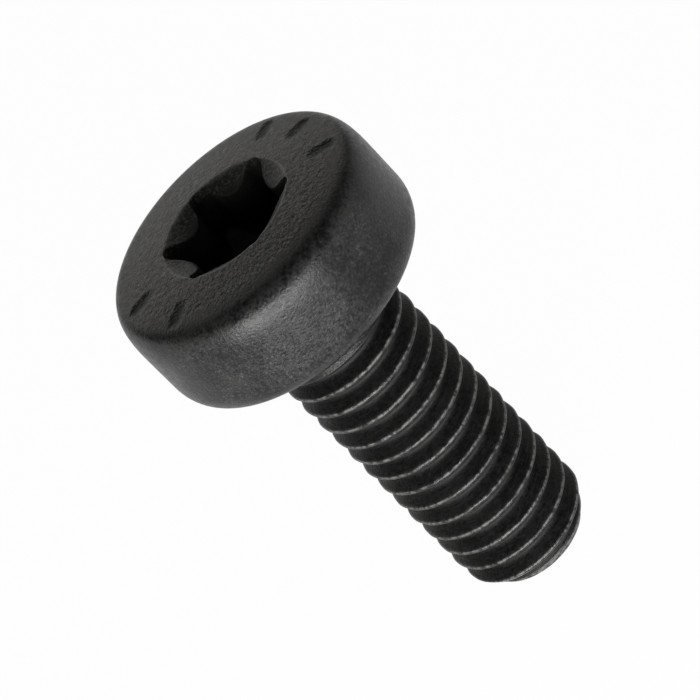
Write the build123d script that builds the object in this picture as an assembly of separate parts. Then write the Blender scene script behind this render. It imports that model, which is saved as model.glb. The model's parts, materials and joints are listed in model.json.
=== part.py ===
"""Pan head machine screw with a six-lobe socket, M6 x 16, coarse right-hand thread.

The screw is one piece: the head and its socket are cold forged, the thread is rolled on the
shank.  Sizes are in millimetres.  The origin is the centre of the flat tip end, and +Z runs
along the axis from the tip to the head.  One lobe of the socket points along +X.
"""
from build123d import *
import math
import os

# Shank and thread
length = 15.75                  # tip end to bearing face, nominal 16
thread_diameter = 5.9           # over the crests, M6 less its rolling allowance
thread_pitch = 1.0
thread_start = 0.36             # height of a crest on the +X side, above the tip end
neck_length = 0.9               # plain shank under the head, its fillet included
runout_length = 0.75            # where the thread fades into the neck
neck_fillet = 0.5               # between the neck and the bearing face
tip_diameter = 4.45             # flat tip end
tip_chamfer_length = 0.95       # axial length of the chamfer round the tip

# Head
head_diameter = 11.6            # nominal 12
head_height = 4.765             # to the peak of the crown, which the socket takes away
crown_height = 0.32             # rise of the domed top over its own rim
top_edge_width = 1.1            # rounding between the side and the crown, across the head
top_edge_height = 1.8           # the same rounding, along the axis
side_pull = 0.93                # share of that height over which the rounding hugs the side
crown_pull = 0.72               # share of that width over which it hugs the crown
lower_edge_width = 0.62         # rounding between the side and the bearing face
lower_edge_height = 0.96

# Six-lobe socket
socket_width = 5.82             # across opposite lobes
socket_waist = 3.96             # across the flutes between the lobes
lobe_radius = 0.45
socket_depth = 2.3              # from the crown to where the walls end
floor_angle = 120.0             # cone at the bottom of the socket
mouth_diameter = 5.68           # countersink where it meets the crown, inside the lobe tips
mouth_angle = 120.0

# Thread form: a 60 degree triangle of height h, cut off h/8 outside, 17/24 h deep when rolled
flank_angle = 30.0              # each flank against a plane square to the axis
flank_slope = math.tan(math.radians(flank_angle))
triangle_height = thread_pitch / 2 / flank_slope
crest_radius = thread_diameter / 2
root_radius = crest_radius - triangle_height * 17 / 24
pitch_radius = crest_radius - triangle_height * 3 / 8
crest_width = thread_pitch / 8

# The thread is rolled on a shank of the pitch diameter, and the neck keeps that size
neck_radius = pitch_radius
head_radius = head_diameter / 2
head_top = length + head_height
neck_bottom = length - neck_length
thread_top = neck_bottom - runout_length
crown_edge = head_radius - top_edge_width
dome_radius = (crown_edge**2 + crown_height**2) / 2 / crown_height

ridge_stretch = 4               # turns of the ridge drawn as one set of faces
overlap = 0.03                  # how far the ridge is rooted in the core that carries it
over = 1.0                      # how far cutting shapes reach past what they cut
quarter_arc = 0.5523            # pull of a curve's inner points that draws a quarter circle


def polar(radius, degrees):
    """Point in the XY plane at a radius and an angle from +X."""
    angle = math.radians(degrees)
    return (radius * math.cos(angle), radius * math.sin(angle))


def half_section(*edges):
    """Solid of revolution about Z of a closed half section, drawn as (radius, height)."""
    return revolve(Plane.XZ * make_face(Curve() + edges), Axis.Z)


def head_and_neck():
    """Pan head with rounded rims and a low crown, the neck below it, and its run-out cone.

    The upper rounding leaves the side upright and meets the crown along the crown's own slope."""
    rim = head_top - crown_height
    flat_edge = head_radius - lower_edge_width
    lower_side = length + lower_edge_height
    upper_side = rim - top_edge_height
    fillet_edge = neck_radius + neck_fillet
    fillet_bottom = length - neck_fillet
    pull = neck_fillet * quarter_arc
    crown_slope = math.asin(crown_edge / dome_radius)
    reach = top_edge_width * crown_pull
    return half_section(
        Polyline((0, thread_top), (root_radius, thread_top), (neck_radius, neck_bottom),
                 (neck_radius, fillet_bottom)),
        Bezier((neck_radius, fillet_bottom), (neck_radius, fillet_bottom + pull),
               (fillet_edge - pull, length), (fillet_edge, length)),
        Line((fillet_edge, length), (flat_edge, length)),
        EllipticalCenterArc((flat_edge, lower_side), lower_edge_width, lower_edge_height, 270),
        Line((head_radius, lower_side), (head_radius, upper_side)),
        Bezier((head_radius, upper_side), (head_radius, upper_side + top_edge_height * side_pull),
               (crown_edge + reach * math.cos(crown_slope), rim - reach * math.sin(crown_slope)),
               (crown_edge, rim)),
        RadiusArc((crown_edge, rim), (0, head_top), -dome_radius),
        Line((0, head_top), (0, thread_top)),
    )


def socket_outline():
    """Six-lobe outline: round lobes joined by larger tangent flutes, all true arcs."""
    lobe_centre = socket_width / 2 - lobe_radius
    waist = socket_waist / 2
    cosine = math.cos(math.radians(30))
    # the flute's circle passes through the waist and touches the two lobes beside it
    flute_radius = (lobe_radius**2 - lobe_centre**2 - waist**2 + 2 * lobe_centre * waist * cosine) / (
        2 * (waist - lobe_centre * cosine - lobe_radius))
    flute_centre = waist + flute_radius
    share = lobe_radius / (lobe_radius + flute_radius)
    lobe = Vector(lobe_centre, 0)
    touch = lobe + (Vector(*polar(flute_centre, 30)) - lobe) * share
    half_angle = math.degrees(math.atan2(touch.Y, touch.X))
    touch_radius = touch.length
    arcs = []
    for turn in range(0, 360, 60):
        arcs.append(ThreePointArc(polar(touch_radius, turn - half_angle),
                                  polar(socket_width / 2, turn),
                                  polar(touch_radius, turn + half_angle)))
        arcs.append(ThreePointArc(polar(touch_radius, turn + half_angle),
                                  polar(waist, turn + 30),
                                  polar(touch_radius, turn + 60 - half_angle)))
    return make_face(Curve() + arcs)


def socket_cutter():
    """Straight six-lobe walls with a conical floor, and the countersunk mouth above them."""
    floor = head_top - socket_depth
    half_width = socket_width / 2
    floor_drop = half_width / math.tan(math.radians(floor_angle / 2))
    mouth_slope = math.tan(math.radians(mouth_angle / 2))
    mouth_radius = mouth_diameter / 2
    mouth_level = head_top - dome_radius + math.sqrt(dome_radius**2 - mouth_radius**2)
    prism = Pos(0, 0, floor - floor_drop) * extrude(socket_outline(), floor_drop + socket_depth + over)
    walls = prism & half_section(Polyline(
        (0, floor - floor_drop), (half_width, floor), (half_width, head_top + over),
        (0, head_top + over), (0, floor - floor_drop)))
    mouth = half_section(Polyline(
        (0, mouth_level - mouth_radius / mouth_slope),
        (mouth_radius + over * mouth_slope, mouth_level + over),
        (0, mouth_level + over), (0, mouth_level - mouth_radius / mouth_slope)))
    return walls + mouth


def thread_ridge():
    """Right-hand helical ridge with straight flanks, from below the tip to above the run-out."""
    foot_radius = root_radius - overlap
    half_crest = crest_width / 2
    half_foot = half_crest + (crest_radius - foot_radius) * flank_slope
    corners = [(crest_radius, -half_crest), (crest_radius, half_crest),
               (foot_radius, half_foot), (foot_radius, -half_foot)]
    rise = ridge_stretch * thread_pitch
    bottom = thread_start - 2 * thread_pitch
    stretches = math.ceil((neck_bottom + thread_pitch - bottom) / rise)
    sides = []
    for stretch in range(stretches):
        helices = [Edge.make_helix(thread_pitch, rise, radius).moved(
            Pos(0, 0, bottom + stretch * rise + offset)) for radius, offset in corners]
        sides += [Face.make_surface_from_curves(helices[i - 1], helices[i]) for i in range(4)]
    ends = [Face(Wire.make_polygon([(radius, 0, level + offset) for radius, offset in corners]))
            for level in (bottom, bottom + stretches * rise)]
    return Solid(Shell(sides + ends))


def threaded_shank():
    """Core and ridge, trimmed by the chamfer at the tip and the fading crests at the neck."""
    core = Pos(0, 0, -over) * Cylinder(
        root_radius, neck_bottom + 2 * over, align=(Align.CENTER, Align.CENTER, Align.MIN))
    outside = crest_radius + overlap
    chamfer_slope = (crest_radius - tip_diameter / 2) / tip_chamfer_length
    chamfer_top = tip_chamfer_length + overlap / chamfer_slope
    fade_slope = (crest_radius - neck_radius) / runout_length
    fade_bottom = thread_top - overlap / fade_slope
    blank = half_section(Polyline(
        (0, 0), (tip_diameter / 2, 0), (outside, chamfer_top), (outside, fade_bottom),
        (neck_radius, neck_bottom), (0, neck_bottom), (0, 0)))
    return (core + thread_ridge()) & blank


def screw():
    """The finished screw, one solid."""
    return threaded_shank() + head_and_neck() - socket_cutter()


os.makedirs("parts", exist_ok=True)
body = screw().solid()
body.label = "screw"
export_step(body, "parts/screw.step")
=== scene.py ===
# %% [markdown]
# # A black pan head screw with a six-lobe socket
#
# The screw stands on its flat tip, head up. Two machines shaped it: a press forged the head and
# punched the socket, and two sliding dies rolled the thread. A hot bath then turned the steel
# black.
#
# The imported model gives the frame. Every size below comes from its box, from its mounts or from
# the screw's own drawing, so nothing has to be moved or fitted afterwards.

# %% Load the frame
import json
import math
import bmesh
import bpy
import numpy as np
from mathutils import Matrix, Vector


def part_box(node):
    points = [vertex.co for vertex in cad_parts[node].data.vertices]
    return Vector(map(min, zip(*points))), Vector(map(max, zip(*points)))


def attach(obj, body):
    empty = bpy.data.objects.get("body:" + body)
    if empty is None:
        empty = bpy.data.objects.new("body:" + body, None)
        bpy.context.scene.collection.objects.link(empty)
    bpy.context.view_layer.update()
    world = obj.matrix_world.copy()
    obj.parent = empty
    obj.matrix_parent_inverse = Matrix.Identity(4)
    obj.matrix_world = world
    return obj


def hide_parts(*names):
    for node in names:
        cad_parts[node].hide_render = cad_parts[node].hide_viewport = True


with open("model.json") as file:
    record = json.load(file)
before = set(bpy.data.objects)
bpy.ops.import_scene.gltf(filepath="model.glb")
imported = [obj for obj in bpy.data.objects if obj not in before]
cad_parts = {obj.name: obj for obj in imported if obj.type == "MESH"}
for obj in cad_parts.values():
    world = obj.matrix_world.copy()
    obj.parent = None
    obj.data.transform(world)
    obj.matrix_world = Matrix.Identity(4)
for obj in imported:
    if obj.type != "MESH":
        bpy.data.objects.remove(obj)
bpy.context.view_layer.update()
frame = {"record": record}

low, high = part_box("screw")
print("screw in the frame, mm:", [round((b - a) * 1000, 2) for a, b in zip(low, high)])

# %% [markdown]
# ## The driving sizes
#
# A fastener is drawn from few numbers. The mounts say where the head begins, where its crown
# would peak, and how wide the thread is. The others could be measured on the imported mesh, but its
# facets are coarser than this skin, so they are written as a drawing gives them.
#
# A thread's form is a 60 degree triangle. An eighth of its height is cut off outside, and rolling
# presses it 17/24 deep. The blank has the pitch diameter, and the plain neck keeps that size.

# %% Sizes
mm = 0.001
places = {mount["name"]: mount for mount in frame["record"]["mounts"]}
bearing = places["bearing_face"]["pos_m"][2]
head_top = places["drive_socket"]["pos_m"][2]
crest_radius = places["thread"]["dims"]["r_mm"] * mm
head_radius = high[0]

pitch = 1.0 * mm
flank_slope = math.tan(math.radians(30))
triangle = pitch / 2 / flank_slope
root_radius = crest_radius - triangle * 17 / 24
neck_radius = crest_radius - triangle * 3 / 8
crest_height = 0.36 * mm                        # of a crest on the +X side, above the tip
neck_bottom = bearing - 1.35 * mm
fade_bottom = neck_bottom - 0.75 * mm           # where the crests start to sink
print("thread runs from the tip to", round(fade_bottom / mm, 2), "mm")

# %% [markdown]
# ## Columns shared by the whole screw
#
# The real screw is one piece of steel. Its skin could be made as a shank, a head and a socket
# joined by booleans, but those leave ragged edges where they meet. Here it is one closed sheet: a
# grid of columns round the axis and rows along the outline. The shank, the head and the socket
# have the same number of columns, so their grids meet point to point and no gap can open.

# %% Columns
columns = 240                                   # a multiple of six, one share for each lobe
turn = 2 * math.pi * np.arange(columns) / columns


def ring_points(radius, height, angle):
    """Points at a radius and a height, at an angle round the axis: (r cos a, r sin a, z)."""
    radius, height, angle = np.broadcast_arrays(radius, height, angle)
    return np.stack([radius * np.cos(angle), radius * np.sin(angle), height], axis=-1)


print("columns:", columns, "at every", 360 / columns, "degrees")

# %% [markdown]
# ## The thread
#
# A rolled thread is one profile carried up a helix. Blender's Screw modifier can carry one, but
# it ends bluntly, and this thread has to fade at both ends. A plain grid of rings would cut
# across the crest and leave a saw edge. So the rows climb with the helix instead: each row keeps
# its own distance from the crest line, and going once round, it meets the row one pitch higher.
#
# The profile is a straight flank between a narrow crest and a rounded root. A smooth limit rounds
# each corner the way metal flows round a die. The rows are closest together at the crest, because
# its edge is the line that catches the light.

# %% Thread profile
crest_land = pitch / 8
root_round, crest_round = 0.10 * mm, 0.09 * mm


def smooth_least(a, b, soft):
    """The lesser of two values, with the corner between them rounded: (a + b - root((a - b)2 +
    soft2)) / 2."""
    return (a + b - np.hypot(a - b, soft)) / 2


def thread_profile(offset):
    """Radius at a distance along the axis from the crest line: a 30 degree flank, limited by the
    crest above it and by the root below it."""
    flank = crest_radius - (np.abs(offset) - crest_land / 2) / flank_slope
    rounded = -smooth_least(-flank, np.full_like(flank, -root_radius), root_round)
    return smooth_least(rounded, np.full_like(flank, crest_radius), crest_round)


half_rows = np.array([0.0, 0.035, 0.065, 0.095, 0.14, 0.22, 0.33, 0.39, 0.44])
row_offset = pitch * np.concatenate([[-0.5], -half_rows[:0:-1], half_rows])
rows_per_turn = len(row_offset)
print("rows per turn of thread:", rows_per_turn)

# %% [markdown]
# ## From thread to tip and neck
#
# The tip is chamfered so that the screw finds its hole. Under the head the dies stop, and the
# crests sink into the plain neck. Both could be cut with a boolean. Here they are limits on the
# radius that depend on height alone: the thread is never wider than the outer one, and its root
# never narrower than the inner one, so the crests get broader and flatter there, as real ones do.

# %% Limits of the shank
tip_radius = 2.225 * mm
tip_round = 0.06 * mm
chamfer_height = 0.95 * mm
chamfer_round = 0.05 * mm                       # of the corner between the chamfer and the crests
widest = crest_radius * 1.01                    # just clear of the crests
narrowest = root_radius * 0.9                   # just clear of the root


def outer_limit(height):
    """Largest radius at a height: the tip's chamfer cone, then the crests, then the fade to the
    neck."""
    chamfer = tip_radius + (crest_radius - tip_radius) * height / chamfer_height
    fade = crest_radius + (neck_radius - crest_radius) * (height - fade_bottom) / (
        neck_bottom - fade_bottom)
    return np.minimum(smooth_least(chamfer, np.full_like(height, widest), chamfer_round), fade)


def inner_limit(height):
    """Smallest radius at a height: the root fills up to the neck's size while the crests sink."""
    share = np.clip((height - fade_bottom) / (neck_bottom - fade_bottom), 0, 1)
    return narrowest + (neck_radius - narrowest) * share


halfway = np.array([bearing / 2])
print("limits halfway up, mm:", [float(np.round(limit(halfway)[0] / mm, 3))
                                 for limit in (inner_limit, outer_limit)])

# %% [markdown]
# ## The shank, where it rubs, and its painted highlight
#
# A rolled crest is never quite even, so its height wanders by a few thousandths of a millimetre
# along the helix. The wear could be painted by hand. It is worked out here with the shape and
# stored with each point: most on the edge of the crest that faces the head, where it is also a
# painted highlight, a little on the crest's land, also painted light, and where the chamfer has
# cut the first crests.

# %% Shank grid
wander_height = 0.004 * mm
crest_sink = 0.006 * mm                         # what rubbing has taken off every crest
crest_strip = 0.08 * mm                         # half the strip on which both act
crest_cut = 0.12 * mm                           # a crest that a limit cuts by this much isn't worn
worn_below = 0.9 * mm                           # on the chamfer


def hill(value, middle, width, power=2):
    """Smooth hill, 1 at its middle: e to the minus ((value - middle) / width) to a power."""
    return np.exp(-((value - middle) / width) ** power)


def crest_wander(climb):
    """Unevenness of the crest: a sum of three sines of the turns climbed."""
    waves = ((7.3, 0.4), (12.7, 2.1), (19.1, 4.4))
    return wander_height * sum(np.sin(2 * math.pi * climb * rate + phase) for rate, phase in waves)


def shank_grid():
    """Grid of helical rows. The height is crest height + pitch x (turns so far) + the row's offset,
    pressed flat on the tip and on the neck, where the rows run together and are welded later."""
    turns = np.arange(-1, math.ceil((neck_bottom - crest_height) / pitch) + 1)
    climb = (turns[:, None] + turn[None, :] / (2 * math.pi))[:, None, :]
    offset = np.broadcast_to(row_offset[None, :, None], (len(turns), rows_per_turn, columns))
    height = np.clip(crest_height + pitch * climb + offset, tip_round, neck_bottom)
    on_crest = hill(offset, 0, crest_strip, 4)
    radius = thread_profile(offset) + (crest_wander(climb) - crest_sink) * on_crest
    radius = np.minimum(np.maximum(radius, inner_limit(height)), outer_limit(height))

    whole_crest = np.clip((outer_limit(height) - crest_radius + crest_cut) / crest_cut, 0, 1)
    # Painted highlight, partly real wear, on the crest's edge that faces the head, and painted
    # light on its land.
    upper_edge_wear_and_highlight = hill(offset, 0.05 * mm, 0.026 * mm)
    land_wear_and_light = 0.16 * hill(offset, -0.03 * mm, 0.1 * mm, 4)
    on_chamfer = 0.8 * hill(outer_limit(height) - radius, 0, 0.02 * mm) * (height < worn_below)
    wear_and_highlight = np.maximum(np.maximum(upper_edge_wear_and_highlight, land_wear_and_light) * whole_crest, on_chamfer)
    rows = len(turns) * rows_per_turn
    return ring_points(radius, height, turn).reshape(rows, columns, 3), wear_and_highlight.reshape(rows, columns)


shank, shank_wear_and_highlight = shank_grid()
print("shank grid:", shank.shape[:2])

# %% [markdown]
# ## The tip
#
# The blank is sheared square, so the tip is flat, with its edge barely broken. A bevel could do
# that edge, but it would need an edge to pick. Four rows on a quarter circle do the same inside
# the grid.

# %% Tip grid


def tip_grid():
    """Rows from the centre of the flat tip to its edge, then a quarter circle up to the chamfer."""
    edge = float(outer_limit(np.array([tip_round]))[0])
    swing = np.radians([0, 30, 60, 90])
    flat = np.linspace(0, edge - tip_round, 5)[:-1]
    radius = np.concatenate([flat, edge - tip_round * (1 - np.sin(swing))])
    height = np.concatenate([np.zeros(len(flat)), tip_round * (1 - np.cos(swing))])
    return ring_points(radius[:, None], height[:, None], turn[None, :])


tip = tip_grid()
print("tip grid:", tip.shape[:2])

# %% [markdown]
# ## The outside of the head
#
# Forging leaves no sharp corner on the head. Its outline goes from the neck through a small
# fillet to the flat bearing face, round the lower rim, up the side and over the upper rim. It
# could be a cylinder with bevelled edges, but a bevel is always a part of a circle, and these
# rims aren't. The lower rim is a quarter ellipse. The upper rim is one cubic curve, upright at
# the side and in line with the crown at its other end, because a rim that met the crown at an
# angle would show as a ring in the gloss. The outline is turned about the axis.

# %% Curves of the outline
crown_rise = 0.32 * mm
top_edge = (1.1 * mm, 1.8 * mm)                 # across the head, and along the axis
low_edge = (0.62 * mm, 0.96 * mm)
fillet = 0.5 * mm
crown_edge = head_radius - top_edge[0]
dome = (crown_edge**2 + crown_rise**2) / 2 / crown_rise
rim = head_top - crown_rise


def quarter(center, size, start, end, steps):
    """Points on a quarter ellipse: center + size x (cos a, sin a), from one angle to another."""
    angle = np.radians(np.linspace(start, end, steps))
    across, along = center[0] + size[0] * np.cos(angle), center[1] + size[1] * np.sin(angle)
    return np.stack([across, along], axis=-1)


def straight(start, end, steps):
    """Points inside a straight run, without its two ends."""
    share = np.linspace(0, 1, steps + 2)[1:-1, None]
    return np.array(start) * (1 - share) + np.array(end) * share


def upper_rim(steps):
    """Points on a cubic curve from the side to the crown: (1-t)^3 a + 3(1-t)^2 t b + 3(1-t) t^2 c +
    t^3 d, whose inner points b and c lie along the side's and the crown's own directions."""
    slope, reach = math.asin(crown_edge / dome), 0.72 * top_edge[0]
    a = np.array((head_radius, rim - top_edge[1]))
    b = a + (0, 0.93 * top_edge[1])
    d = np.array((crown_edge, rim))
    c = d + (reach * math.cos(slope), -reach * math.sin(slope))
    t = np.linspace(0, 1, steps)[:, None]
    return (1 - t) ** 3 * a + 3 * (1 - t) ** 2 * t * b + 3 * (1 - t) * t**2 * c + t**3 * d


print("the crown is part of a sphere of radius", round(dome / mm, 1), "mm")

# %% Head outline
outline = np.concatenate([
    [(neck_radius, neck_bottom)],
    straight((neck_radius, neck_bottom), (neck_radius, bearing - fillet), 2),
    quarter((neck_radius + fillet, bearing - fillet), (fillet, fillet), 180, 90, 8),
    straight((neck_radius + fillet, bearing), (head_radius - low_edge[0], bearing), 4),
    quarter((head_radius - low_edge[0], bearing + low_edge[1]), low_edge, 270, 360, 14),
    straight((head_radius, bearing + low_edge[1]), (head_radius, rim - top_edge[1]), 5),
    upper_rim(25)[:-1],
])
head_side = ring_points(outline[:, 0, None], outline[:, 1, None], turn[None, :])
print("head side grid:", head_side.shape[:2])

# %% [markdown]
# ## The socket's outline
#
# A six-lobe socket turns a driver without slipping, because its walls are almost square to the
# push. Its outline is made of true arcs: six small lobes joined by six wider flutes that touch
# them. It could be a curve object filled and cut into the head. As a radius for each angle it
# stays part of the same grid. Seen from the axis, an arc whose circle is centred at distance c
# has the radius c cos a + root(R2 - c2 sin2 a) on its far side, and the same with a minus on its
# near side.

# %% Socket outline
lobe_reach = 2.91 * mm
waist = 1.98 * mm
lobe_round = 0.45 * mm
lobe_centre = lobe_reach - lobe_round
apart = math.cos(math.radians(30))
flute_round = (lobe_round**2 - lobe_centre**2 - waist**2 + 2 * lobe_centre * waist * apart) / (
    2 * (waist - lobe_centre * apart - lobe_round))
flute_centre = waist + flute_round


def socket_radius(angle):
    """Radius of the outline at an angle: the flute's near side, or the lobe's far side where it
    reaches further out."""
    sixth = math.pi / 3
    from_lobe = (angle + sixth / 2) % sixth - sixth / 2
    from_flute = angle % sixth - sixth / 2
    flute = flute_centre * np.cos(from_flute) - np.sqrt(
        np.maximum(flute_round**2 - (flute_centre * np.sin(from_flute)) ** 2, 0))
    lobe = lobe_centre * np.cos(from_lobe) + np.sqrt(
        np.maximum(lobe_round**2 - (lobe_centre * np.sin(from_lobe)) ** 2, 0))
    touch = np.arctan2(flute_centre * math.sin(sixth / 2) * lobe_round,
                       lobe_centre * flute_round + flute_centre * math.cos(sixth / 2) * lobe_round)
    return np.where(np.abs(from_lobe) < touch, lobe, flute)


print("radius of lobes and flutes, mm:", round(lobe_round / mm, 3), round(flute_round / mm, 3))

# %% [markdown]
# ## Columns for the socket
#
# Columns spaced evenly by angle would starve the lobes' flanks, so the socket's columns are
# spaced evenly along the outline. The countersink at the mouth cuts facets whose corners have to
# be sharp, so the nearest columns are moved onto them.

# %% Socket columns
mouth_radius = 2.84 * mm
fine = np.linspace(0, 2 * math.pi, 6001)
fine_xy = ring_points(socket_radius(fine), 0.0, fine)[:, :2]
run = np.concatenate([[0], np.cumsum(np.hypot(*np.diff(fine_xy, axis=0).T))])
socket_turn = np.interp(run[-1] * np.arange(columns) / columns, run, fine)
facet_corners = fine[np.flatnonzero(np.diff(socket_radius(fine) > mouth_radius))]
socket_turn[np.abs(socket_turn[:, None] - facet_corners[None, :]).argmin(axis=0)] = facet_corners
socket_wall = socket_radius(socket_turn)
print("socket outline, mm round:", round(run[-1] / mm, 2), "facet corners:", len(facet_corners))

# %% [markdown]
# ## The crown
#
# The crown is a very flat dome. A filled disc with a hole would put long thin triangles on it,
# which show in a soft gloss. Here its rows run from the rim in to the mouth, and its columns
# slide smoothly from even spacing at the rim to the socket's own spacing at the mouth.

# %% Crown grid
mouth_edge = np.maximum(mouth_radius, socket_wall)
rolled_width = 0.09 * mm                        # of the rolled edge round the mouth


def crown_height(radius):
    """Height of the dome at a radius: its top less the sagitta of a large circle."""
    return head_top - dome + np.sqrt(dome**2 - radius**2)


share = np.linspace(0, 1, 32)[:, None]
slide = share * share * (3 - 2 * share)
crown_turn = turn * (1 - slide) + socket_turn * slide
crown_radius = crown_edge * (1 - share) + (mouth_edge + rolled_width) * share
crown = ring_points(crown_radius, crown_height(crown_radius), crown_turn)
print("crown grid:", crown.shape[:2])

# %% [markdown]
# ## The mouth
#
# The punch leaves a countersink at the mouth, which guides the driver in. It is a shallow cone
# that ends just short of the lobes' tips, so it leaves a crescent facet between each two lobes,
# and the tips stay sharp. It could be cut with a boolean cone. Working out the depth where cone
# and wall meet for each column puts the crease between them on a row of points, which keeps it
# crisp. Before the cone come three rows that roll the crown over by a hundredth of a millimetre,
# because handling has taken the sharpness off that edge.

# %% Mouth grid
mouth_slope = math.tan(math.radians(60))
roll_out = mm * np.array([0.06, 0.035, 0.015])[:, None]
roll_drop = mm * np.array([0.001, 0.004, 0.009])[:, None]
facet_drop = 0.016 * mm                         # what the rolled edge takes off the cone's start
below_crease = mm * np.array([0.04, 0.12])[:, None]

rolled_radius = mouth_edge + roll_out
rolled = ring_points(rolled_radius, crown_height(rolled_radius) - roll_drop, socket_turn)

crease = (mouth_edge - socket_wall) / mouth_slope
inward = np.array([0.0, 0.12, 0.3, 0.5, 0.7, 0.88, 1.0])[:, None]
facets = ring_points(mouth_edge * (1 - inward) + socket_wall * inward,
                     crown_height(mouth_edge) - inward * crease - facet_drop, socket_turn)
lip_height = crown_height(mouth_edge) - crease - below_crease
lip = ring_points(socket_wall, lip_height, socket_turn)
mouth = np.concatenate([rolled, facets, lip])
print("mouth grid:", mouth.shape[:2], "deepest crease, mm:", round(crease.max() / mm, 3))

# %% [markdown]
# ## The walls and the floor of the socket
#
# Below the mouth the punch leaves straight walls, and its pointed end leaves a conical floor.
# Each wall column runs down to where it meets that cone, and the floor's rows then shrink the
# outline to the axis. The last row is a single point 240 times over, which the weld turns into
# one.

# %% Socket grid
socket_floor = head_top - 2.3 * mm
floor_drop = lobe_reach / math.tan(math.radians(60))
wall_foot = socket_floor - floor_drop * (1 - socket_wall / lobe_reach)
down = np.linspace(0, 1, 10)[1:, None]
walls = ring_points(socket_wall, lip_height[-1] * (1 - down) + wall_foot * down, socket_turn)

floor_radius = socket_wall * np.linspace(1, 0, 8)[1:, None]
socket_bottom = ring_points(
    floor_radius, socket_floor - floor_drop * (1 - floor_radius / lobe_reach), socket_turn)
print("rows of wall and floor:", len(walls), len(socket_bottom))

# %% [markdown]
# ## Stack the grids
#
# The grids are stacked from the tip's centre to the socket's centre. In a plain grid the last
# column joins the first in the same row; on the shank it joins the row one pitch higher.
#
# Three values go with each point for the finish: how much the thread rubs, with a painted
# highlight on its crests, how much the mouth of the socket rubs, with a painted highlight round
# it, and whether the punch made it. They could be vertex groups, but an attribute of plain
# numbers is read by one node.

# %% Points, values and faces


def sheet_faces(rows, first, shift):
    """Quads between neighbouring rows and columns of a grid, with the last column joined to the
    first one that many rows higher. Wound so that the faces look away from the axis."""
    index = first + np.arange(rows * columns).reshape(rows, columns)
    inner = np.stack([index[:-1, :-1], index[:-1, 1:], index[1:, 1:], index[1:, :-1]], axis=-1)
    left, right = index[: rows - shift, -1], index[shift:, 0]
    seam = np.stack([left[:-1], right[:-1], right[1:], left[1:]], axis=-1)
    return np.concatenate([inner.reshape(-1, 4), seam])


def all_round(row_values):
    """One value for each row, repeated for every column."""
    return np.repeat(np.asarray(row_values, dtype=float), columns)


head = np.concatenate([head_side, crown, mouth, walls, socket_bottom])
points = np.concatenate([grid.reshape(-1, 3) for grid in (tip, shank, head)])
faces = np.concatenate([
    sheet_faces(len(tip), 0, 0),
    sheet_faces(len(shank), len(tip) * columns, rows_per_turn),
    sheet_faces(len(head), (len(tip) + len(shank)) * columns, 0),
])

tip_rub = [0.2, 0.7, 1.0, 0.8]                  # the four rows of the tip's broken edge
tip_wear = all_round([0.0] * (len(tip) - len(tip_rub)) + tip_rub)
crest_wear_and_highlight = np.concatenate([tip_wear, shank_wear_and_highlight.ravel(), all_round([0.0] * len(head))])

# Wear on the mouth's rolled edge, which is also a painted highlight along it.
mouth_rub_and_highlight = [0.2, 0.6, 1.0, 1.0, 0.2]           # three rolled rows and the first two of the cone
before_mouth = len(tip) + len(shank) + len(head_side) + len(crown)
after_rub = len(mouth) - len(mouth_rub_and_highlight) + len(walls) + len(socket_bottom)
mouth_wear_and_highlight = all_round([0.0] * before_mouth + mouth_rub_and_highlight + [0.0] * after_rub)

rows = len(tip) + len(shank) + len(head)
punched = all_round(np.arange(rows) >= before_mouth + len(rolled))
print("points:", len(points), "quads:", len(faces))

# %% [markdown]
# ## Weld the sheet
#
# Rows that were pressed together, at the tip, at the neck and at both centres, lie on top of each
# other. Merging their points closes the skin. The count of open edges must be nothing, and a
# positive volume shows that the faces look outwards.

# %% Build the mesh
same_place = 0.00002 * mm


def weld(name, points, faces, values):
    """One mesh object from points and quads, its doubled points merged and its faces smooth."""
    mesh = bpy.data.meshes.new(name)
    mesh.vertices.add(len(points))
    mesh.vertices.foreach_set("co", points.astype(np.float32).ravel())
    mesh.loops.add(faces.size)
    mesh.loops.foreach_set("vertex_index", faces.astype(np.int32).ravel())
    mesh.polygons.add(len(faces))
    mesh.polygons.foreach_set("loop_start", np.arange(0, faces.size, 4, dtype=np.int32))
    mesh.update(calc_edges=True)
    for label, value in values.items():
        attribute = mesh.attributes.new(label, "FLOAT", "POINT")
        attribute.data.foreach_set("value", value.astype(np.float32))
    body = bmesh.new()
    body.from_mesh(mesh)
    bmesh.ops.remove_doubles(body, verts=body.verts, dist=same_place)
    bmesh.ops.dissolve_degenerate(body, edges=body.edges, dist=same_place)
    open_edges = sum(1 for edge in body.edges if not edge.is_manifold)
    triangles = sum(len(face.verts) - 2 for face in body.faces)
    print(name, "triangles", triangles, "open edges", open_edges,
          "volume mm3", round(body.calc_volume(signed=True) / mm**3, 1))
    body.to_mesh(mesh)
    body.free()
    mesh.shade_smooth()
    piece = bpy.data.objects.new(name, mesh)
    bpy.context.scene.collection.objects.link(piece)
    return piece


screw = weld("screw_body", points, faces,
             {"crest_wear_and_highlight": crest_wear_and_highlight, "mouth_wear_and_highlight": mouth_wear_and_highlight, "punched": punched})
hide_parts("screw")
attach(screw, "root")

# %% [markdown]
# ## Black oxide
#
# The black bath etches the steel a little, so the surface is matt and finely grained, with a soft
# sheen. A painted texture could show that, but it would stretch over the thread. Noise that reads
# the object's own coordinates has the same grain everywhere. The nodes are made by small helpers,
# so that each line below reads like a sum.

# %% Node helpers
finish = bpy.data.materials.new("black_oxide")
finish.use_nodes = True
tree = finish.node_tree
shader = tree.nodes["Principled BSDF"]
here = tree.nodes.new("ShaderNodeTexCoord").outputs["Object"]


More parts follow.
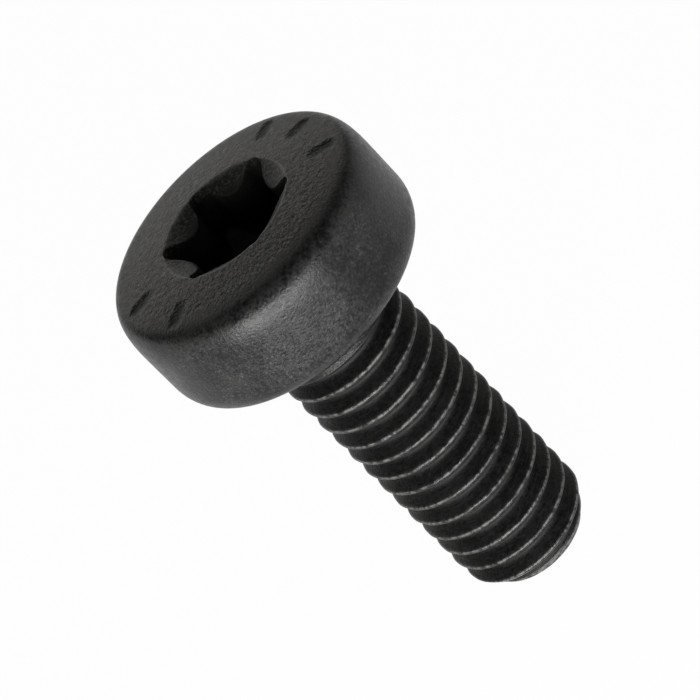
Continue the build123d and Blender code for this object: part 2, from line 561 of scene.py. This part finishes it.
def math_node(kind, *values):
    """One Math node. Each value is a number or the output of another node."""
    node = tree.nodes.new("ShaderNodeMath")
    node.operation = kind
    for socket, value in zip(node.inputs, values):
        if isinstance(value, (int, float)):
            socket.default_value = value
        else:
            tree.links.new(value, socket)
    return node.outputs[0]


def times(first, *others):
    """Product of all the values."""
    for other in others:
        first = math_node("MULTIPLY", first, other)
    return first


def plus(first, *others):
    """Sum of all the values."""
    for other in others:
        first = math_node("ADD", first, other)
    return first


def minus(first, second):
    """The first value less the second."""
    return math_node("SUBTRACT", first, second)


def distance(a, b):
    """Length of two steps at a right angle: root(a2 + b2)."""
    return math_node("SQRT", plus(times(a, a), times(b, b)))


def between(value, low_in, high_in, low_out=0.0, high_out=1.0):
    """Map Range: a smooth ramp from one range to another. It falls if the first range is given
    backwards."""
    node = tree.nodes.new("ShaderNodeMapRange")
    node.interpolation_type = "SMOOTHSTEP"
    tree.links.new(value, node.inputs["Value"])
    limits = {"From Min": low_in, "From Max": high_in, "To Min": low_out, "To Max": high_out}
    for key, number in limits.items():
        node.inputs[key].default_value = number
    return node.outputs["Result"]


def blend_colour(share, first, second):
    """Mix of two colours. Each is a colour or the output of another node."""
    node = tree.nodes.new("ShaderNodeMix")
    node.data_type = "RGBA"
    tree.links.new(share, node.inputs["Factor"])
    for socket, value in zip((node.inputs[6], node.inputs[7]), (first, second)):
        if isinstance(value, tuple):
            socket.default_value = (*value, 1)
        else:
            tree.links.new(value, socket)
    return node.outputs[2]


def stored(label):
    """A value stored with the mesh."""
    node = tree.nodes.new("ShaderNodeAttribute")
    node.attribute_name = label
    return node.outputs["Fac"]


print("helpers ready for", finish.name)

# %% [markdown]
# ## Grain
#
# The finish is uneven at three scales: clouds as wide as the crown's ring, a mottle, and single
# grains. On the thread the dies drew the surface out into fine lines. Those follow the helix,
# which no texture space does by itself, but the distance from the axis stays the same along such
# a line. So the lines are noise that changes quickly with that distance and slowly with the
# place.

# %% Noises and places
axes = tree.nodes.new("ShaderNodeSeparateXYZ")
tree.links.new(here, axes.inputs[0])
east, north, level = axes.outputs
out = distance(east, north)


def grain(size, detail=2.0, roughness=0.5):
    """Noise whose features are about that many metres wide."""
    node = tree.nodes.new("ShaderNodeTexNoise")
    node.inputs["Scale"].default_value = 1 / size
    node.inputs["Detail"].default_value = detail
    node.inputs["Roughness"].default_value = roughness
    tree.links.new(here, node.inputs["Vector"])
    return node.outputs["Fac"]


def streaks(width, length):
    """Noise drawn out along the thread: its place is (x / length, y / length, distance from the
    axis / width)."""
    place = tree.nodes.new("ShaderNodeCombineXYZ")
    for socket, value, size in zip(place.inputs, (east, north, out), (length, length, width)):
        tree.links.new(math_node("DIVIDE", value, size), socket)
    node = tree.nodes.new("ShaderNodeTexNoise")
    node.inputs["Scale"].default_value = 1.0
    tree.links.new(place.outputs[0], node.inputs["Vector"])
    return node.outputs["Fac"]


cloud = grain(1.6 * mm, detail=3)
mottle = grain(0.22 * mm, detail=3, roughness=0.6)
speck = grain(0.1 * mm, detail=2)
rolled_lines = streaks(0.045 * mm, 1.1 * mm)
print("four noises in", len(tree.nodes), "nodes")

# %% [markdown]
# ## Parts of the finish
#
# Each part of the screw took the bath a little differently. One material for each part would
# leave hard borders between them. Here one material has a soft mask for each: the side of the
# head, the flat of the crown, the punched faces and their depth, which takes painted shade, the
# thread, and its root.

# %% Masks
head_side_mask = times(between(level, neck_bottom, bearing),
                       between(level, rim - 0.2 * mm, rim - 1.2 * mm))
crown_mask = times(between(level, rim - 0.3 * mm, rim - 0.05 * mm),
                   between(out, crown_edge + 0.1 * mm, crown_edge - 0.5 * mm))
punched_mask = stored("punched")
# Painted shade: the socket is darkened towards its floor.
socket_shade_mask = times(punched_mask, between(level, head_top - 1.1 * mm, head_top - 2.1 * mm))
thread_mask = between(level, bearing - fillet, neck_bottom)
root_mask = times(between(out, root_radius + 0.17 * mm, root_radius), thread_mask)
print("finish nodes so far:", len(tree.nodes))

# %% [markdown]
# ## Colour
#
# Black oxide isn't one black. It is thin on single grains of the head, which look pale, and
# thinner on the punched faces near the mouth. The thread, and the socket towards its floor, are
# painted darker, as painted shade. Where the dies or other screws rubbed, it is gone and grey
# steel shows through, and that lighter grey is also a painted highlight along the crests' edge
# that faces the head and round the mouth. A real layer on a layer is what Mix nodes do, so each
# line lays one colour over the last, from the widest to the smallest.

# %% Colour
shade_black = (0.002, 0.002, 0.002)
thick_black, thin_black = (0.002, 0.002, 0.0022), (0.015, 0.0148, 0.0144)
pale_grain = (0.16, 0.158, 0.155)
punched_steel = (0.05, 0.05, 0.048)
drawn_steel = (0.10, 0.098, 0.09)
worn_and_lit_steel = (0.14, 0.138, 0.134)

patches = plus(times(cloud, 0.35), times(mottle, 0.3), times(speck, 0.35))
colour = blend_colour(between(patches, 0.40, 0.60), thick_black, thin_black)

dust = times(between(speck, 0.56, 0.74), between(cloud, 0.42, 0.62, 0.15, 1.0))
colour = blend_colour(times(dust, head_side_mask, 0.17), colour, pale_grain)
colour = blend_colour(times(between(speck, 0.48, 0.68), crown_mask, 0.5), colour, pale_grain)
colour = blend_colour(times(punched_mask, 0.3), colour, punched_steel)
# Painted shade down the socket, darkest towards its floor.
colour = blend_colour(socket_shade_mask, colour, shade_black)
# Painted shade: the whole thread is darkened for the shade between its turns.
colour = blend_colour(times(thread_mask, 0.65), colour, shade_black)
lines = times(between(rolled_lines, 0.5, 0.75), thread_mask, 0.06)
colour = blend_colour(lines, colour, drawn_steel)

# Bare steel where rubbed; on the crests' head-side edge and round the mouth's rolled edge it is
# also a painted highlight.
crests_worn_and_lit = times(stored("crest_wear_and_highlight"), between(mottle, 0.38, 0.62, 0.12, 1.0))
mouth_worn_and_lit = times(stored("mouth_wear_and_highlight"), between(mottle, 0.3, 0.6, 0.4, 1.0))
colour = blend_colour(math_node("MAXIMUM", crests_worn_and_lit, mouth_worn_and_lit), colour, worn_and_lit_steel)
tree.links.new(colour, shader.inputs["Base Color"])
print("finish nodes with the colour:", len(tree.nodes))

# %% [markdown]
# ## Plain marks on the crown
#
# A forging die often leaves short radial strokes on a screw's crown, as a strength mark. Here
# they are plain: three on one side and two across from them. They could be cut into the mesh, but
# they are shallower than its rows are apart. Each is a capsule: the distance from a short radial
# line, made ragged by the mottle, is turned into a shallow dent for the light.

# %% Strokes
stroke_middle, stroke_half, stroke_width = 4.47 * mm, 0.28 * mm, 0.4 * mm
stroke_flat, stroke_ragged = 0.06 * mm, 0.25 * mm


def stroke(degrees):
    """1 on the line of a radial stroke at that angle, falling smoothly to 0 a stroke's width away.
    The distance is root(across2 + past the end2)."""
    c, s = math.cos(math.radians(degrees)), math.sin(math.radians(degrees))
    along = plus(times(east, c), times(north, s))
    across = minus(times(north, c), times(east, s))
    from_middle = math_node("ABSOLUTE", minus(along, stroke_middle))
    past_end = math_node("MAXIMUM", minus(from_middle, stroke_half), 0.0)
    away = plus(distance(across, past_end), times(minus(mottle, 0.5), stroke_ragged))
    return between(away, stroke_flat, stroke_width, 1.0, 0.0)


marks = stroke(-19)
for degrees in (-49, 6, 146, 179):
    marks = math_node("MAXIMUM", marks, stroke(degrees))
marks = times(marks, between(level, rim - 0.7 * mm, rim - 0.4 * mm))
print("finish nodes with the strokes:", len(tree.nodes))

# %% [markdown]
# ## Gloss
#
# Oil from the bath fills the grain unevenly, so the sheen varies from place to place. The strokes
# and the root of the thread stay dry and dull. The level of the reflection is one number for the
# whole screw, and so it is set on the shader itself.

# %% Gloss
gloss = plus(between(mottle, 0.3, 0.7, 0.32, 0.46), times(minus(speck, 0.5), 0.15))
gloss = plus(gloss, plus(times(marks, 0.25), times(root_mask, 0.28)))
tree.links.new(gloss, shader.inputs["Roughness"])
shader.inputs["Specular IOR Level"].default_value = 0.22
print("finish nodes with the gloss:", len(tree.nodes))

# %% [markdown]
# ## Relief
#
# The etched grain is a few hundredths of a millimetre deep, far too fine for the mesh, so Bump
# nodes tilt the light instead. They are laid one over another: the mottle and the grains
# everywhere, a coarser leather on the forged crown, the rolled lines on the thread, and the
# strokes.

# %% Relief


def relief(height, depth_m, strength, under=None):
    """Bump: a height from 0 to 1, worth that many metres, laid over another relief."""
    node = tree.nodes.new("ShaderNodeBump")
    node.inputs["Strength"].default_value = strength
    node.inputs["Distance"].default_value = depth_m
    tree.links.new(height, node.inputs["Height"])
    if under is not None:
        tree.links.new(under, node.inputs["Normal"])
    return node.outputs["Normal"]


surface = relief(mottle, 0.02 * mm, 0.4)
surface = relief(speck, 0.02 * mm, 0.8, surface)
surface = relief(times(minus(mottle, 0.5), crown_mask), 0.045 * mm, 1.0, surface)
surface = relief(times(rolled_lines, thread_mask), 0.012 * mm, 0.6, surface)
surface = relief(minus(1.0, marks), 0.1 * mm, 1.0, surface)
tree.links.new(surface, shader.inputs["Normal"])
screw.data.materials.append(finish)
print("finish nodes in all:", len(tree.nodes))

# %% [markdown]
# ## Studio table
#
# The screw stands on a pale table that runs out level and then rises in a low wall all round,
# like a sheet of paper curved up at its edge. A plane would end in a hard line against the room.
# Above the wall the room is dim, so that the steel stays dark: black metal looks black because it
# mirrors a dark room.

# %% Table and wall


def turned_sheet(name, outline, steps):
    """Sheet of revolution: each (radius, height) of the outline, carried round the axis."""
    around = 2 * math.pi * np.arange(steps) / steps
    outline = np.array(outline)
    rows = ring_points(outline[:, 0, None], outline[:, 1, None], around[None, :]).reshape(-1, 3)
    index = np.arange(len(rows)).reshape(len(outline), steps)
    ahead = np.roll(index, -1, 1)
    quads = np.stack([index[:-1], index[1:], ahead[1:], ahead[:-1]], axis=-1)
    mesh = bpy.data.meshes.new(name)
    mesh.from_pydata(rows.tolist(), [], quads.reshape(-1, 4).tolist())
    body = bmesh.new()
    body.from_mesh(mesh)
    bmesh.ops.remove_doubles(body, verts=body.verts, dist=0.01 * mm)
    body.to_mesh(mesh)
    body.free()
    mesh.shade_smooth()
    sheet = bpy.data.objects.new(name, mesh)
    bpy.context.scene.collection.objects.link(sheet)
    return sheet


floor = low[2]
table = turned_sheet("table", [(0, floor), (0.1, floor), (0.5, floor), (0.6, floor + 0.02),
                               (0.65, floor + 0.06), (0.67, floor + 0.15)], 64)
print("table faces:", len(table.data.polygons))

# %% [markdown]
# ## Paper
#
# The table has to look white and yet not light the screw from below. A bright diffuse sheet would
# do both. Light Path tells them apart: to the eye, to a reflection and through glass the paper
# glows at nearly 1, which is white, and what is left of it is matt and takes the screw's shadow.
# To all other light it is plain matt paper.

# %% Paper material
paper = bpy.data.materials.new("pale_paper")
paper.use_nodes = True
nodes, links = paper.node_tree.nodes, paper.node_tree.links
nodes.remove(nodes["Principled BSDF"])
matt = nodes.new("ShaderNodeBsdfDiffuse")
matt.inputs["Color"].default_value = (0.8, 0.8, 0.8, 1)
white = nodes.new("ShaderNodeEmission")
path = nodes.new("ShaderNodeLightPath")
seen = path.outputs["Is Camera Ray"]
for ray in ("Is Glossy Ray", "Is Transmission Ray"):
    either = nodes.new("ShaderNodeMath")
    either.operation = "MAXIMUM"
    links.new(seen, either.inputs[0])
    links.new(path.outputs[ray], either.inputs[1])
    seen = either.outputs[0]
glow = nodes.new("ShaderNodeMath")
glow.operation = "MULTIPLY"
glow.inputs[1].default_value = 0.98
links.new(seen, glow.inputs[0])
mix = nodes.new("ShaderNodeMixShader")
links.new(glow.outputs[0], mix.inputs["Fac"])
links.new(matt.outputs[0], mix.inputs[1])
links.new(white.outputs[0], mix.inputs[2])
links.new(mix.outputs[0], nodes["Material Output"].inputs["Surface"])
table.data.materials.append(paper)
print("paper nodes:", len(nodes))

# %% [markdown]
# ## Light
#
# The room gives a little light from everywhere. On a dark and slightly glossy thing the lamps
# matter more for what they look like in the steel than for the light they give, so they are soft
# panels and not points: a long low strip for the bright band on the upper rim, and slightly warm
# panels for the side, the crown and the far rim.

# %% Room and lamps
world = bpy.data.worlds.new("room")
bpy.context.scene.world = world
world.use_nodes = True
room = world.node_tree.nodes["Background"]
room.inputs["Color"].default_value = (1, 1, 1, 1)
room.inputs["Strength"].default_value = 0.11

head_middle = Vector((0, 0, (bearing + high[2]) / 2))
neutral, warm = (1, 1, 1), (1, 0.97, 0.91)


def outward(heading, elevation):
    """Unit step at a heading round the axis and an elevation, in degrees:
    (cos heading cos elevation, sin heading cos elevation, sin elevation)."""
    around, up = math.radians(heading), math.radians(elevation)
    return Vector((math.cos(around) * math.cos(up), math.sin(around) * math.cos(up), math.sin(up)))


def lamp(name, tint, heading, elevation, distance_m, width, height, watts):
    """Area lamp at a heading and elevation from the head, facing it. Its sides are the width,
    which is level, and the height."""
    away = outward(heading, elevation)
    data = bpy.data.lights.new(name, "AREA")
    data.shape = "RECTANGLE"
    data.size, data.size_y, data.energy, data.color = width, height, watts, tint
    light = bpy.data.objects.new(name, data)
    light.location = head_middle + away * distance_m
    light.rotation_euler = away.to_track_quat("Z", "Y").to_euler()
    bpy.context.scene.collection.objects.link(light)
    return light


lamps = [
    lamp("low_strip", neutral, -142, -7, 0.056, 0.070, 0.016, 0.078),
    lamp("left_strip", warm, -163, 4, 0.30, 0.10, 0.10, 0.285),
    lamp("back_panel", warm, 52, 29, 0.30, 0.32, 0.12, 0.18),
    lamp("side_panel", warm, 115, 8, 0.30, 0.20, 0.10, 0.053),
    lamp("right_fill", warm, -15, 24, 0.30, 0.16, 0.12, 0.050),
]
print("lamps:", [light.name for light in lamps])

# %% [markdown]
# ## Camera
#
# A long lens looks down at the head from about a third of a right angle, rolled so that the screw
# lies across the frame from upper left to lower right. A constraint could aim it, but a roll is
# easier to give as the camera's own three directions: right, up, and away from what it looks at.

# %% Camera
view_heading, view_elevation, view_roll = -124.8, 32.12, math.radians(-44.21)
view_distance = 146.34 * mm
aim = Vector((0.534 * mm, 0.926 * mm, 11.696 * mm))

away = outward(view_heading, view_elevation)
level_right = Vector((0, 0, 1)).cross(away).normalized()
level_up = away.cross(level_right)
right = level_right * math.cos(view_roll) + level_up * math.sin(view_roll)
upright = away.cross(right)
directions = Matrix((right, upright, away)).transposed().to_4x4()

lens = bpy.data.cameras.new("camera")
lens.sensor_width, lens.lens = 36.0, 194.8
lens.clip_start, lens.clip_end = 0.01, 10
camera = bpy.data.objects.new("camera", lens)
camera.matrix_world = Matrix.Translation(aim + away * view_distance) @ directions
bpy.context.scene.collection.objects.link(camera)
bpy.context.scene.camera = camera
bpy.context.scene.view_settings.view_transform = "Standard"
print("camera at, mm:", [round(c / mm, 1) for c in camera.matrix_world.translation])
